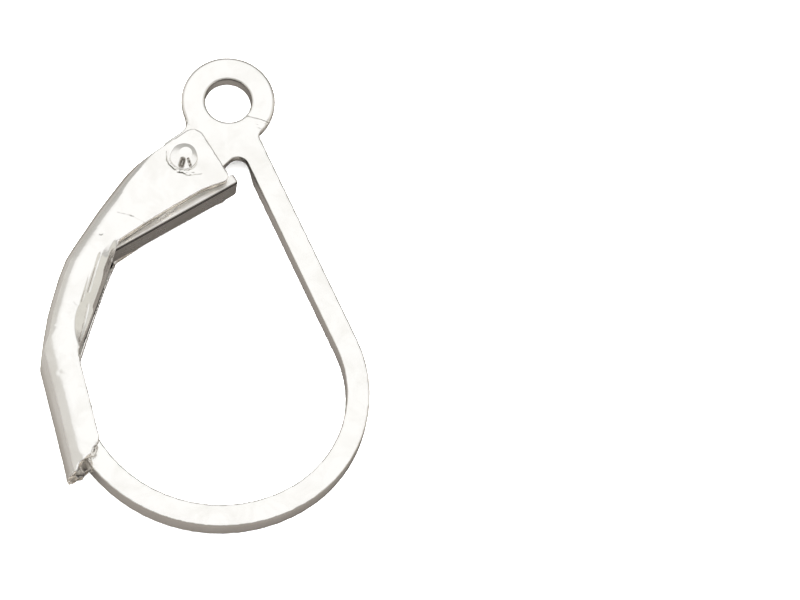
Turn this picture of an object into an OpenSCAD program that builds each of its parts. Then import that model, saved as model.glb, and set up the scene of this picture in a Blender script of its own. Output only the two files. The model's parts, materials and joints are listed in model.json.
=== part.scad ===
// Leverback earring finding, closed, lying on its side
//
// The pieces are worked out in the plane of the flat frame: the ring's centre is the origin, the ring is
// at the top, and the frame's thickness is centred on z = 0. The whole is then leant to lie on its rivet,
// its catch and its bow, with the middle of its footprint at the origin and the ground at z = 0.

/* [Ring] */
// Outside radius of the charm ring
ring_r = 1.47; // [1.35:0.01:1.6]
// Height of the steep bevel round the charm ring's lower edge
ring_bevel = 0.48; // [0.2:0.01:0.55]
// Radius of the hole in the charm ring
ring_hole_r = 0.72; // [0.6:0.01:0.85]
// Chamfer on the hole's upper rim
rim_up = 0.07; // [0.02:0.01:0.1]
// Chamfer on the hole's lower rim
rim_low = 0.24; // [0.05:0.01:0.25]
// Width of the closed seam, where the end of the ring meets the shank
seam_w = 0.03; // [0.02:0.01:0.1]
// Direction in which the seam runs
seam_angle = -15; // [-25:1:-10]
// Distance of the seam from the ring's centre
seam_off = 0.31; // [0.2:0.01:0.4]

/* [Shank and bow] */
// Thickness of the flat frame
frame_t = 0.8; // [0.7:0.01:0.9]
// Width of the shank and the bow
band_w = 0.72; // [0.6:0.01:0.8]
// Lean of the shank
shank_lean = 24.8; // [22:0.1:27]
// Distance of the shank's centre line from the ring's centre
shank_off = 0.04; // [-0.05:0.01:0.15]
// Length of the straight shank, measured from the ring's centre
shank_len = 8.83; // [8:0.01:9.6]
// Centre-line radius of the bow beside the shank
bow_r = 3.97; // [3.7:0.01:4.2]
// Centre-line radius of the bow's lower stretch
bow_low_r = 4.59; // [4.3:0.01:4.8]
// Direction, from the bow's centre, at which the lower stretch begins
bow_low_from = -57; // [-65:1:-45]

/* [Head] */
// Place of the rivet from the ring's centre, across
pin_x = -1.384; // [-1.5:0.001:-1.3]
// Place of the rivet from the ring's centre, along
pin_y = -2.23; // [-2.35:0.01:-2.15]
// Distance from the rivet to the head's upper edge
head_up = 0.94; // [0.85:0.001:0.95]
// Direction that the head's upper edge faces
head_up_angle = 126.7; // [124:0.1:129]
// Distance from the rivet to the head's lower edge
head_low = 0.878; // [0.82:0.001:0.92]
// Direction that the head's lower edge faces
head_low_angle = -46.1; // [-49:0.1:-43]
// Distance from the rivet to the head's end
head_end = 0.871; // [0.82:0.001:0.9]
// Direction that the head's end faces
head_end_angle = 149.2; // [146:0.1:152]
// Rounding of the cam corner that rides on the spring
cam_r = 0.2; // [0.12:0.01:0.25]
// Rounding of the head's upper corner
head_corner_r = 0.25; // [0.1:0.01:0.3]
// Fillet between the ring and the head
neck_fillet = 0.4; // [0.25:0.01:0.45]
// Fillet of the notch between the head and the shank
notch_fillet = 0.32; // [0.2:0.01:0.4]
// Height of the steep bevel under that notch
notch_bevel = 0.5; // [0.2:0.01:0.55]

/* [Rivet] */
// Radius of the rivet's pin
pin_r = 0.28; // [0.2:0.01:0.32]
// Radius of the rivet's domed heads
dome_r = 0.465; // [0.4:0.005:0.55]
// Height of the rivet's domed heads
dome_h = 0.25; // [0.15:0.01:0.3]
// Radial clearance of the rivet in the head of the frame
tang_clear = 0.01; // [0.005:0.005:0.02]
// Radial running clearance of the rivet in the lever's cheeks
cheek_clear = 0.03; // [0.01:0.01:0.06]
// Gap under each domed head
dome_gap = 0.015; // [0.005:0.005:0.03]

/* [Lever] */
// Thickness of the lever's sheet
sheet_t = 0.32; // [0.26:0.01:0.36]
// Width of the lever over its cheeks, at the waist and the catch
lever_w = 2.0; // [1.9:0.01:2.2]
// Width of the lever over its cheeks, at the hinge
hinge_w = 1.84; // [1.8:0.01:1.9]
// Distance from the rivet at which the cheeks have their full width
flare_end = 2.42; // [2.2:0.01:2.6]
// Length over which the cheeks widen
flare_len = 1.0; // [0.5:0.01:1.3]
// Direction in which the cheeks widen
flare_angle = 250.9; // [245:0.1:255]
// Outside radius of the fold along the lever's back
fold_r = 0.62; // [0.4:0.01:0.65]
// Distance from the rivet to the cheeks' upper edge
cheek_up = 0.715; // [0.68:0.005:0.8]
// Direction that the cheeks' upper edge faces
cheek_up_angle = 126.4; // [124:0.1:129]
// Distance from the rivet to the cheeks' front edge
cheek_front = 0.94; // [0.88:0.005:1.0]
// Direction that the cheeks' front edge faces
cheek_front_angle = 31.6; // [29:0.1:34]
// Rounding of the cheeks' upper corner
cheek_up_r = 0.38; // [0.3:0.01:0.45]
// Rounding of the cheeks' lower corner
cheek_low_r = 0.22; // [0.1:0.01:0.3]
// How far the cheeks' lower corner stands back from the spring's outer face
low_back = 0.035; // [0.01:0.005:0.05]
// How far the crown of the cheeks' lower edge stands back from that corner
arch_rise = 0.175; // [0.1:0.005:0.2]
// Distance of the crown from the rivet, along the spring
arch_at = 0.05; // [-0.1:0.01:0.2]
// Radius of the lower edge at its crown
crown_r = 0.8; // [0.3:0.01:1.2]
// Rise of the lower edge's curve between the crown and the lips
edge_rise = 0.035; // [0.02:0.005:0.06]
// Direction in which the lips of the waist run
lip_angle = 252.64; // [250:0.01:255]

/* [Crimp] */
// Width of the slope pressed into each cheek, from the lip
crimp_w = 0.49; // [0.4:0.01:0.5]
// Slope of the pressed metal
crimp_slope = 35; // [25:1:36]
// Radius of the hollow of that slope
crimp_r = 2.4; // [2:0.1:3]
// Distance from the upper end of the lips to where the slope has its full depth
crimp_top = 1.4; // [1.3:0.01:1.5]
// Distance from the lower end of the lips to where the slope has its full depth
crimp_low = 1.3; // [1.2:0.01:1.4]

/* [Catch] */
// Direction that the back of the catch faces
catch_angle = 194.3; // [192:0.1:196]
// Length of the catch above the point where the bow's curve would touch its back
catch_up = 1.43; // [1.2:0.01:1.6]
// Length of the catch below that point
catch_down = 2.38; // [2.1:0.01:2.6]
// Depth of the catch, from its back to its open edge
catch_depth = 1.18; // [1.1:0.01:1.25]
// Direction that the slanted end of the catch faces
toe_angle = -42.8; // [-48:0.1:-38]
// Rounding of the catch's front corner
toe_r = 0.5; // [0.3:0.01:0.6]
// Fillet where the lips run into the catch's open edge
lip_fillet = 0.5; // [0.2:0.01:0.8]
// Gap between the bow's tip and the inside of the catch
tip_gap = 0.04; // [0.03:0.005:0.08]

/* [Spring] */
// Thickness of the leaf spring
spring_t = 0.28; // [0.22:0.01:0.3]
// Width of the leaf spring
spring_w = 1.1; // [1:0.01:1.12]
// Distance from the rivet to the spring's near face
spring_off = 1.11; // [1.08:0.005:1.15]
// Direction that the spring's near face is turned away from
spring_angle = 302.5; // [300:0.1:305]
// Distance from the rivet to the spring's free end, along the blade
spring_reach = 1.14; // [1:0.01:1.3]
// Rounding of the corners of the free end
spring_end_r = 0.1; // [0.08:0.01:0.25]
// Inside radius of the spring's bend
spring_bend_r = 0.47; // [0.46:0.01:0.5]
// Length of the tail held in the crimp
tail_len = 2.6; // [2.2:0.05:2.7]
// Gap between the cam and the spring
cam_gap = 0.02; // [0.01:0.005:0.04]

/* [Hidden] */
$fn = 96;
ARC_STEP = 8;
OVER = 1;
// How far the spring's flat stretches reach into its bend
LAP = 0.01;
SILVER = "gainsboro";
BRIGHT = "white";
STEEL = "lightsteelblue";

// Stations of the lever's back: along and across the line from the rivet to the start of the catch,
// as shares of its length, and the bulge of the stretch that follows, as a share of that stretch
BACK_ALONG = 0;
BACK_ACROSS = 1;
BACK_BULGE = 2;
back = [[0.147, 0.155, 0.018], [0.586, 0.157, 0.04], [1, 0, 0]];
// Upper end of the lips, as shares of the same length
lip_along = 0.431;
lip_across = 0.02;

// Direction, seen from above, in which the lowest points of the catch and the bow lie
touch_angle = -24;

// Unit vector in a direction
function dir(angle) = [cos(angle), sin(angle)];
// Where two lines meet, each given by the direction it faces and its distance from the origin
function meet(a, da, b, db) =
    let (k = sin(b - a))
    [(da * sin(b) - db * sin(a)) / k, (db * cos(a) - da * cos(b)) / k];
// Distance of a point along a direction
function reach(p, angle) = p * dir(angle);
function unit(v) = v / norm(v);
function angle_of(v) = atan2(v.y, v.x);
// Points of a corner p, between the points before and after it, rounded by the radius r
function rounded(before, p, after, r) =
    let (
        u = unit(before - p),
        v = unit(after - p),
        half = acos(u * v) / 2,
        centre = p + unit(u + v) * r / sin(half),
        start = angle_of(p + u * r / tan(half) - centre),
        end = angle_of(p + v * r / tan(half) - centre),
        turn = end - start > 180 ? end - start - 360 : end - start < -180 ? end - start + 360 : end - start,
        steps = ceil(abs(turn) / ARC_STEP)
    )
    [for (i = [0:steps]) centre + r * dir(start + turn * i / steps)];
// Points of an outline whose corners are rows of a point and its radius
function outline(rows) =
    let (n = len(rows))
    [for (i = [0:n - 1]) each rows[i][1] == 0
        ? [rows[i][0]]
        : rounded(rows[(i + n - 1) % n][0], rows[i][0], rows[(i + 1) % n][0], rows[i][1])];
// Points between a and b on an arc that rises to the left of the way from a to b
function arch(a, b, rise) =
    let (
        chord = norm(b - a),
        r = chord * chord / (8 * rise) + rise / 2,
        left = [a.y - b.y, b.x - a.x] / chord,
        centre = (a + b) / 2 - left * (r - rise),
        start = angle_of(a - centre),
        end = angle_of(b - centre),
        turn = end - start > 180 ? end - start - 360 : end - start < -180 ? end - start + 360 : end - start,
        steps = max(2, ceil(abs(turn) / 2))
    )
    [for (i = [1:steps - 1]) centre + r * dir(start + turn * i / steps)];
// Radius of an arc with a chord and a bulge that is a share of it
function arc_radius(chord, bulge) = chord * (1 / (8 * bulge) + bulge / 2);

pin = [pin_x, pin_y];
half_t = frame_t / 2;
half_band = band_w / 2;

// Shank and bow
along = dir(shank_lean - 90);
side = dir(shank_lean);
bow_out = bow_r + half_band;
low_out = bow_low_r + half_band;
bow_centre = along * shank_len + side * (shank_off - bow_r);
low_centre = bow_centre + (bow_r - bow_low_r) * dir(bow_low_from);

// Fillet between the head and the shank
head_edge = reach(pin, head_low_angle) + head_low;
shank_edge = shank_off - half_band;
notch = meet(head_low_angle, head_edge + notch_fillet, shank_lean, shank_edge - notch_fillet);

// Lever, with half widths over its cheeks
half_w = lever_w / 2;
half_hinge = hinge_w / 2;
hollow_w = half_w - sheet_t;
hollow_hinge = half_hinge - sheet_t;
catch_dir = dir(catch_angle + 90);
catch_touch = low_centre + (low_out + sheet_t) * dir(catch_angle);
catch_top = catch_touch - catch_dir * catch_up;
toe = catch_touch + catch_dir * catch_down;
lever_len = norm(catch_top - pin);
lever_dir = unit(catch_top - pin);
lever_out = [lever_dir.y, -lever_dir.x];
function on_lever(share_along, share_across) =
    pin + lever_len * (share_along * lever_dir + share_across * lever_out);
back_pts = [for (row = back) on_lever(row[BACK_ALONG], row[BACK_ACROSS])];
lip_top = on_lever(lip_along, lip_across);
lip_dir = dir(lip_angle);
lip_face = lip_angle + 90;

// Bow's tip, where its outer edge comes to the round inside of the catch
tip_depth = half_w - sqrt(hollow_w * hollow_w - half_t * half_t) + tip_gap;
tip_angle = catch_angle + acos((low_out + sheet_t - tip_depth) / low_out);

// Spring
blade_dir = dir(spring_angle - 90);
blade_face = dir(spring_angle);
bend_centre = pin + meet(
    spring_angle, spring_off + spring_t + spring_bend_r,
    lip_face, reach(lip_top - pin, lip_face)
);

// Cam on the head, turned against the spring when the lever is closed and when it is open
cam_off = spring_off - cam_gap;
cam_angle = spring_angle - 90;

// Centre of the bar that presses each slope, from the lip inwards and from the middle outwards
crimp_rise = sqrt(crimp_r * crimp_r - pow(crimp_w / cos(crimp_slope) / 2, 2));
crimp_in = crimp_w / 2 - crimp_rise * sin(crimp_slope);
crimp_up = half_w - crimp_w * tan(crimp_slope) / 2 + crimp_rise * cos(crimp_slope);
// Line of the lips
open_edge = reach(catch_touch, catch_angle) - catch_depth;
lip_end = meet(lip_face, reach(lip_top, lip_face), catch_angle, open_edge);

// Lowest points, on which it lies
toe_corner = meet(catch_angle, open_edge, toe_angle, reach(toe, toe_angle));
toe_centre = meet(
    catch_angle, open_edge + toe_r,
    toe_angle, reach(toe, toe_angle) - toe_r
);
rest_rivet = [pin.x, pin.y, -half_hinge - dome_gap - dome_h];
rest_toe = concat(toe_centre + toe_r * dir(touch_angle), -half_w);
rest_bow = concat(bow_centre + bow_out * dir(touch_angle), -half_t);
lean = unit(cross(rest_toe - rest_rivet, rest_bow - rest_rivet));
turn_x = [1 - lean.x * lean.x / (1 + lean.z), -lean.x * lean.y / (1 + lean.z), -lean.x];
turn_y = [-lean.x * lean.y / (1 + lean.z), 1 - lean.y * lean.y / (1 + lean.z), -lean.y];
// Furthest place, along a row of the turn, of a flat disc of radius r about a point
function far(row, centre, r) =
    row * concat(centre, 0) + r * norm([row.x, row.y]) + abs(row.z) * half_t;
x_high = far(turn_x, bow_centre, bow_out);
x_low = turn_x * concat(catch_top, 0);
y_high = far(turn_y, [0, 0], ring_r);
y_low = -far(-turn_y, low_centre, low_out);
shift_x = -(x_high + x_low) / 2;
shift_y = -(y_high + y_low) / 2;
shift_z = -lean * rest_rivet;

// Lays what is built in the frame's plane on the ground
module laid() {
    multmatrix([
        concat(turn_x, shift_x),
        concat(turn_y, shift_y),
        concat(lean, shift_z),
        [0, 0, 0, 1]
    ])
        children();
}

// Part of a flat ring, from the x axis on
module band_arc(r, turn) {
    rotate_extrude(angle = turn)
        translate([r - half_band, -half_t])
        square([band_w, frame_t]);
}

// Shank, bow and the bow's lower stretch, each set out from the end of the last
module band() {
    rotate(shank_lean - 90)
        translate([0, shank_off, 0]) {
            translate([0, -half_band, -half_t])
                cube([shank_len, band_w, frame_t]);
            translate([shank_len, -bow_r, 0])
                rotate(90) {
                    band_arc(bow_r, bow_low_from - shank_lean);
                    rotate(bow_low_from - shank_lean)
                        translate([bow_r - bow_low_r, 0, 0])
                        band_arc(bow_low_r, tip_angle - 360 - bow_low_from);
                }
        }
}

// Outline of the head: the tang between the cheeks, running into the ring and the shank
module head_outline() {
    up = [head_up_angle, reach(pin, head_up_angle) + head_up];
    end = [head_end_angle, reach(pin, head_end_angle) + head_end];
    cam = [cam_angle, reach(pin, cam_angle) + cam_off];
    // Fillet against the ring
    neck_off = up[1] + neck_fillet;
    neck_back = sqrt(pow(ring_r + neck_fillet, 2) - neck_off * neck_off);
    neck = neck_off * dir(up[0]) + neck_back * dir(up[0] + 90);
    difference() {
        polygon(outline([
            [[0, 0], 0],
            [unit(neck) * ring_r, 0],
            [neck, 0],
            [neck - dir(up[0]) * neck_fillet, 0],
            [meet(up[0], up[1], end[0], end[1]), head_corner_r],
            [meet(end[0], end[1], cam[0], cam[1]), head_corner_r],
            [meet(cam[0], cam[1], head_low_angle, head_edge), cam_r],
            [notch - dir(head_low_angle) * notch_fillet, 0],
            [notch, 0],
            [notch + side * notch_fillet, 0]
        ]));
        translate(neck)
            circle(neck_fillet);
        translate(notch)
            circle(notch_fillet);
    }
}

module hook_frame() {
    color(SILVER)
        laid()
        difference() {
            union() {
                ring_disc();
                translate([0, 0, -half_t])
                    linear_extrude(frame_t)
                    head_outline();
                band();
            }
            ring_hole();
            seam();
            notch_under();
            translate(concat(pin, -half_t - OVER))
                cylinder(h = frame_t + 2 * OVER, r = pin_r + tang_clear);
        }
}

module ring_disc() {
    translate([0, 0, -half_t])
        cylinder(h = ring_bevel, r1 = ring_r - ring_bevel / 2, r2 = ring_r);
    translate([0, 0, ring_bevel - half_t])
        cylinder(h = frame_t - ring_bevel, r = ring_r);
}

module ring_hole() {
    translate([0, 0, -half_t - OVER])
        cylinder(h = frame_t + 2 * OVER, r = ring_hole_r);
    for (rim = [[0, rim_up], [1, rim_low]])
        mirror([0, 0, rim[0]])
        translate([0, 0, half_t - rim[1]])
        cylinder(h = 2 * rim[1], r1 = ring_hole_r, r2 = ring_hole_r + 2 * rim[1]);
}

// What the bevel takes from under the notch
module notch_under() {
    depth = notch_bevel + OVER;
    translate(concat(notch, -half_t - OVER))
        cylinder(h = depth, r1 = notch_fillet + depth / 2, r2 = notch_fillet);
}

// Slit through the ring's right side
module seam() {
    start = sqrt(ring_hole_r * ring_hole_r - seam_off * seam_off) - seam_w;
    rotate(seam_angle)
        translate([start, -seam_off - seam_w / 2, -half_t - OVER])
        cube([ring_r, seam_w, frame_t + 2 * OVER]);
}

module rivet() {
    length = hinge_w + 2 * dome_gap;
    ball_r = (dome_r * dome_r + dome_h * dome_h) / (2 * dome_h);
    color(BRIGHT)
        laid()
        translate(pin) {
            translate([0, 0, -length / 2])
                cylinder(h = length, r = pin_r);
            for (flip = [0, 1])
                mirror([0, 0, flip])
                intersection() {
                    translate([0, 0, length / 2 + dome_h - ball_r])
                        sphere(ball_r);
                    translate([0, 0, length / 2])
                        cylinder(h = dome_h + OVER, r = dome_r);
                }
        }
}

// Side outline of the lever, running past its back, which the shell below gives
module lever_outline() {
    up = [cheek_up_angle, reach(pin, cheek_up_angle) + cheek_up];
    front = [cheek_front_angle, reach(pin, cheek_front_angle) + cheek_front];
    low_off = spring_off + spring_t - low_back;
    low = meet(front[0], front[1], spring_angle, reach(pin, spring_angle) + low_off);
    crown = pin + blade_face * (low_off - arch_rise) + blade_dir * arch_at;
    past = dir(up[0] + 90);
    behind = up[1] * dir(up[0]) + past * (reach(back_pts[0], up[0] + 90) + lever_len / 2);
    polygon(outline(concat(
        [
            [meet(up[0], up[1], front[0], front[1]), cheek_up_r],
            [behind, 0],
            [toe + dir(toe_angle + 270) * (lever_len / 2), 0],
            [toe_corner, toe_r],
            [lip_end, lip_fillet],
            [lip_top, 0]
        ],
        [for (p = arch(lip_top, crown, edge_rise)) [p, 0]],
        [
            [crown, crown_r],
            [low, cheek_low_r]
        ]
    )));
}

// Disc with a rounded rim whose edge passes through two stations of the back
module rim_disc(i, inset) {
    a = back_pts[i];
    b = back_pts[i + 1];
    chord = norm(b - a);
    bulge = back[i][BACK_BULGE];
    r = arc_radius(chord, bulge);
    left = [a.y - b.y, b.x - a.x] / chord;
    translate((a + b) / 2 + left * (r - bulge * chord))
        rotate_extrude()
        rim_profile(r - inset, half_w - inset, fold_r - inset);
}

// Half section of a disc of radius r and half width w, with its rim rounded by f
module rim_profile(r, w, f) {
    translate([0, f - w])
        square([r, 2 * (w - f)]);
    translate([0, -w])
        square([r - f, 2 * w]);
    for (s = [-1, 1])
        translate([r - f, s * (w - f)])
        circle(f);
}

// Half-round bar along the catch's back
module catch_bar(inset) {
    start = catch_touch + catch_dir * (catch_down + OVER);
    translate(concat(start - dir(catch_angle) * half_w, 0))
        rotate(catch_angle + 180)
        rotate([90, 0, 0])
        translate([0, 0, -2 * lever_len]) {
            cylinder(h = 2 * lever_len, r = half_w - inset);
            translate([0, inset - half_w])
                cube([lever_len, 2 * (half_w - inset), 2 * lever_len]);
        }
}

// Slab whose thickness grows from the hinge's width to the waist's
module flared_slab(inset) {
    edge = [
        [-lever_len, half_hinge],
        [flare_end - flare_len, half_hinge],
        [flare_end, half_w],
        [2 * lever_len, half_w]
    ];
    translate(concat(pin, 0))
        rotate(flare_angle)
        rotate([90, 0, 0])
        translate([0, 0, -lever_len])
        linear_extrude(2 * lever_len)
        polygon(concat(
            [for (p = edge) [p.x, p.y - inset]],
            [for (i = [1:len(edge)]) let (p = edge[len(edge) - i]) [p.x, inset - p.y]]
        ));
}

// Round-ended bar that presses one cheek in along its lip
module punch(inset) {
    run = norm(lip_end - lip_top) - crimp_top - crimp_low;
    r = crimp_r + inset;
    translate(concat(lip_top + lip_dir * crimp_top - dir(lip_face) * crimp_in, crimp_up))
        rotate(lip_angle)
        rotate([0, 90, 0]) {
            cylinder(h = run, r = r);
            sphere(r);
            translate([0, 0, run])
                sphere(r);
        }
}

// Solid bounded by the outside of the folded sheet, or by its inside when inset by the sheet's thickness
module shell(inset) {
    difference() {
        intersection() {
            rim_disc(0, inset);
            rim_disc(1, inset);
            catch_bar(inset);
            flared_slab(inset);
        }
        punch(inset);
        mirror([0, 0, 1])
            punch(inset);
    }
}

// Opening in the back at the hinge end, where the head passes
module back_slot() {
    a = back_pts[0];
    b = back_pts[1];
    translate(concat(a, -hollow_hinge))
        rotate(angle_of(b - a) + 180)
        translate([0, -half_w, 0])
        cube([lever_len / 2, lever_w, 2 * hollow_hinge]);
}

module lever() {
    color(SILVER)
        laid()
        difference() {
            intersection() {
                translate([0, 0, -half_w])
                    linear_extrude(lever_w)
                    lever_outline();
                shell(0);
            }
            shell(sheet_t);
            back_slot();
            translate(concat(pin, -half_w))
                cylinder(h = lever_w, r = pin_r + cheek_clear);
        }
}

// Blade under the head, a bend into the crimp and the tail that the lips hold
module leaf_spring() {
    blade_len = reach(bend_centre - pin, spring_angle - 90) + spring_reach + LAP;
    color(STEEL)
        laid() {
            translate(concat(pin + blade_face * spring_off - blade_dir * spring_reach, 0))
                rotate(spring_angle - 90)
                rotate([90, 0, 0])
                translate([0, 0, -spring_t])
                linear_extrude(spring_t)
                blade_outline(blade_len);
            translate(concat(bend_centre, -spring_w / 2))
                rotate(spring_angle + 180)
                rotate_extrude(angle = lip_face - spring_angle)
                translate([spring_bend_r, 0])
                square([spring_t, spring_w]);
            translate(concat(bend_centre, -spring_w / 2))
                rotate(lip_angle)
                translate([-LAP, -spring_bend_r - spring_t, 0])
                cube([tail_len, spring_t, spring_w]);
        }
}

// Blade seen on its face, its free end rounded
module blade_outline(length) {
    w = spring_w / 2;
    polygon(outline([
        [[0, -w], spring_end_r],
        [[length, -w], 0],
        [[length, w], 0],
        [[0, w], spring_end_r]
    ]));
}

hook_frame();
rivet();
lever();
leaf_spring();
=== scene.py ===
"""Looks of the leverback earring finding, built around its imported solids.

The finding lies closed on a pale ground. Each piece is made from its solid. The leaf spring gets
broken edges. The flat wire, the rivet and the folded lever are rebuilt in even cells, softened all
over and marked as worked silver is. Sizes are in millimetres in the plane of the flat wire, with
the charm ring's centre as the origin.
"""

import sys

import json
import logging
import math
from collections.abc import Iterable
from dataclasses import dataclass
from enum import Enum

import bmesh
import bpy
import numpy as np
from mathutils import Matrix, Vector

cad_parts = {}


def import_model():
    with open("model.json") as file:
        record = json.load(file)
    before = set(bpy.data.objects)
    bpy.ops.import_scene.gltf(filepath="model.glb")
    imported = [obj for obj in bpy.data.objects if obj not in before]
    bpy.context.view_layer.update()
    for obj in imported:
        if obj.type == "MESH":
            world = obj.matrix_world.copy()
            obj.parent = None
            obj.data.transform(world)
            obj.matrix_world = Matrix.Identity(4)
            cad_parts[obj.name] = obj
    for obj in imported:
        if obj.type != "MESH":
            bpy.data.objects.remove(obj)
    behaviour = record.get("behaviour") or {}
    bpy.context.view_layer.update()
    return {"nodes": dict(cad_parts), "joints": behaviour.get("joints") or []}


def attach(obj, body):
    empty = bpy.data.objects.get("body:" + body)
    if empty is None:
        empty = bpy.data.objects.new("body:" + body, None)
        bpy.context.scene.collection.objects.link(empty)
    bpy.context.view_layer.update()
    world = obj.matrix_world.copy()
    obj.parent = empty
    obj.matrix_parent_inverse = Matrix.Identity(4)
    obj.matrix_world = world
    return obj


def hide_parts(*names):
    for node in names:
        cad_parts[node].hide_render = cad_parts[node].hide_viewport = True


Pair = tuple[float, float]
Triple = tuple[float, float, float]
Socket = bpy.types.NodeSocket

# Metres in a millimetre.
MM = 0.001
# Axis of the rivet, in the flat plane.
PIN = (-1.384, -2.23, 0.0)
# Distance within which the corners of a solid's loose triangles are joined.
WELD = 0.0005
# Sockets of a Mix node that mixes colours: the first colour, the second and the result.
MIX_FIRST, MIX_SECOND, MIX_RESULT = 6, 7, 2
log = logging.getLogger("leverback")


class Slot(Enum):
    """Material slots of the record."""

    SILVER = "silver"
    SPRING = "spring_silver"


class Body(Enum):
    """Bodies that move against one another."""

    FRAME = "root"
    LEVER = "lever"


class Blend(Enum):
    """Ways to mix two colours."""

    PLAIN = "MIX"
    DARKER = "MULTIPLY"
    BRIGHTER = "LIGHTEN"


class Measure(Enum):
    """What is measured between two vectors."""

    ALONG = "DOT_PRODUCT"
    AWAY = "DISTANCE"


# ---- where the flat wire's plane lies ----


class FlatPlane:
    """The plane of the flat wire, leant on the ground, and the way between it and the row's frame.

    Attributes:
        turn: Rotation from the flat frame to the row's.
        pin: Place of the hinge in the row's frame, in millimetres.
    """

    def __init__(self, joint: dict) -> None:
        """Takes the lean from the hinge.

        Args:
            joint: The lever's hinge, with its place in metres and its axis.
        """
        normal = -Vector(joint["axis"]).normalized()
        self.turn = np.array(Vector((0, 0, 1)).rotation_difference(normal).to_matrix())
        self.pin = np.array(joint["pos_m"]) / MM

    def to_flat(self, points: np.ndarray) -> np.ndarray:
        """Points of the row's frame, in metres, as flat ones in millimetres."""
        return (points / MM - self.pin) @ self.turn + np.array(PIN)

    def to_row(self, points: np.ndarray) -> np.ndarray:
        """Flat points, in millimetres, in the row's frame in metres."""
        return ((points - np.array(PIN)) @ self.turn.T + self.pin) * MM

    def place(self, point: Triple) -> Triple:
        """One flat point in the row's frame, both in millimetres."""
        return tuple((self.to_row(np.array([point]))[0] / MM).tolist())

    def direction(self, degrees: float) -> Triple:
        """Turns a direction of the flat plane into one of the row's frame.

        Args:
            degrees: The direction in the flat plane.

        Returns:
            The direction in the row's frame.
        """
        turn = math.radians(degrees)
        return tuple((self.turn @ np.array((math.cos(turn), math.sin(turn), 0))).tolist())

    def up(self) -> Triple:
        """The direction across the plane, in the row's frame."""
        return tuple(self.turn[:, 2].tolist())

    def middle(self) -> float:
        """Distance of the plane from the row's origin, in millimetres."""
        return float(np.array(self.place((0.0, 0.0, 0.0))) @ self.turn[:, 2])


# ---- finishes ----


@dataclass(frozen=True)
class Clouds:
    """A cloudy pattern.

    Attributes:
        scale: Clouds in a millimetre.
        detail: Levels of finer clouds.
        rough: Strength of the finer levels.
        warp: How far the pattern is drawn out of shape.
    """

    scale: float
    detail: float
    rough: float = 0.5
    warp: float = 0.0


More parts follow.
